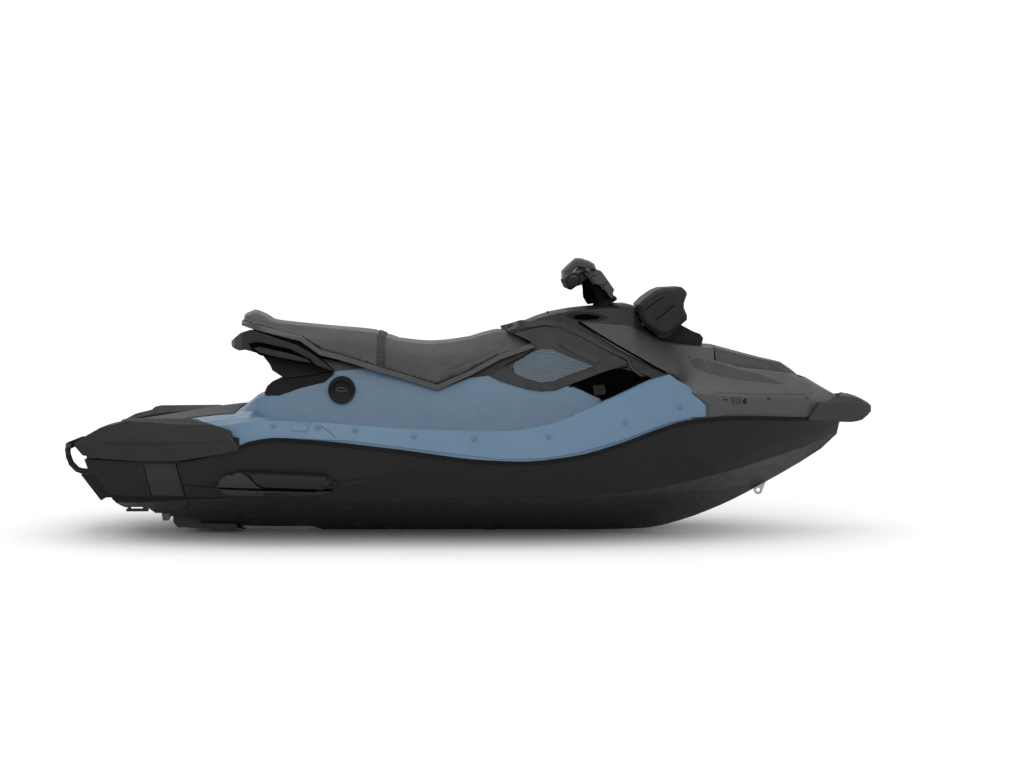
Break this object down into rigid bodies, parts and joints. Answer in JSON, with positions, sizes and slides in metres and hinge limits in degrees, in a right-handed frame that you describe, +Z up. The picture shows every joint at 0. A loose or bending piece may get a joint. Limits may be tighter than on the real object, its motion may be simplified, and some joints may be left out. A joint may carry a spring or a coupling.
{
  "type": "personal watercraft",
  "caption": "Straddle-seat personal watercraft with a jet drive, turning handlebar and nozzle, lifting reverse bucket, opening storage lids and a folding boarding step.",
  "frame": {"origin": "on the centreline in the still waterline, halfway between the bow bumper's tip and the back of the stern bumpers, 190 mm above the lowest line of the keel", "axes": "+X towards the bow, +Y to port, +Z up"},
  "size_m": [3.145, 1.1788, 1.0712],
  "materials": {
    "hull_gelcoat": "gloss black gelcoat",
    "trim_rubber": "matt black",
    "body_blue": "satin dusty blue",
    "bow_grey": "satin dark grey",
    "bumper_grey": "moulded, fine grain",
    "black_plastic": "moulded, fine grain",
    "seat_vinyl": "padded marine vinyl",
    "mat_foam": "embossed closed foam",
    "knee_pad": "soft pad",
    "pump_alloy": "cast, painted",
    "steel": "stainless",
    "step_black": "powder coated",
    "engine_metal": "satin",
    "grip_rubber": "ribbed",
    "speaker_plastic": "ribbed housing"
  },
  "bodies": {
    "craft": {"hull": "hull_gelcoat", "rub_rail": "trim_rubber", "sponson_left": "black_plastic", "sponson_right": "black_plastic", "ride_plate": "pump_alloy", "intake_grate": "steel", "bow_eye": "steel", "pump_housing": "pump_alloy", "venturi": "pump_alloy", "engine": "engine_metal", "deck": "body_blue", "tail_cowl": "black_plastic", "console": "black_plastic", "side_panel_left": "body_blue", "side_panel_right": "body_blue", "knee_panel_left": "knee_pad", "knee_panel_right": "knee_pad", "bow_cowl": "bow_grey", "storage_bin": "black_plastic", "bow_bumper": "bumper_grey", "stern_bumper_left": "bumper_grey", "stern_bumper_right": "bumper_grey", "platform_mat": "mat_foam", "footwell_mat_left": "mat_foam", "footwell_mat_right": "mat_foam", "seat_cushion": "seat_vinyl", "seat_base": "black_plastic", "grab_handle": "black_plastic", "fuel_cap": "black_plastic", "steering_boot": "trim_rubber", "speaker": "speaker_plastic", "speaker_mount": "black_plastic"},
    "steering": {"steering_column": "black_plastic", "handlebar": "step_black", "bar_cover": "black_plastic", "grip_left": "grip_rubber", "grip_right": "grip_rubber", "brake_lever": "black_plastic", "throttle_lever": "black_plastic"},
    "jet_nozzle": {"steering_nozzle": "pump_alloy"},
    "bucket": {"reverse_bucket": "black_plastic"},
    "rotor": {"impeller": "steel"},
    "step": {"boarding_step": "step_black"},
    "front_lid": {"storage_lid": "bow_grey"},
    "glove_lid": {"glovebox_lid": "black_plastic"}
  },
  "joints": [
    {"name": "steering_turn", "type": "hinge", "parent": "craft", "child": "steering", "pos_m": [0.47, 0, 0.702], "axis": [-0.5446, 0, 0.8387], "range_deg": [-22, 22]},
    {"name": "nozzle_turn", "type": "hinge", "parent": "craft", "child": "jet_nozzle", "pos_m": [-1.4, 0, -0.04], "axis": [0, 0, 1], "range_deg": [-22, 22]},
    {"name": "bucket_tilt", "type": "hinge", "parent": "craft", "child": "bucket", "pos_m": [-1.372, 0, -0.025], "axis": [0, 1, 0], "range_deg": [-12, 35]},
    {"name": "impeller_spin", "type": "hinge", "parent": "craft", "child": "rotor", "pos_m": [-1.2, 0, -0.04], "axis": [1, 0, 0], "continuous": true},
    {"name": "step_fold", "type": "hinge", "parent": "craft", "child": "step", "pos_m": [-1.425, 0, 0.072], "axis": [0, 1, 0], "range_deg": [-80, 0]},
    {"name": "front_lid_hinge", "type": "hinge", "parent": "craft", "child": "front_lid", "pos_m": [1.241, 0, 0.415], "axis": [0, 1, 0], "range_deg": [0, 55]},
    {"name": "glove_lid_hinge", "type": "hinge", "parent": "craft", "child": "glove_lid", "pos_m": [0.25, 0, 0.669], "axis": [0, 1, 0], "range_deg": [0, 70]}
  ],
  "couplings": [
    {"joint": "nozzle_turn", "follows": "steering_turn", "ratio": -1}
  ]
}
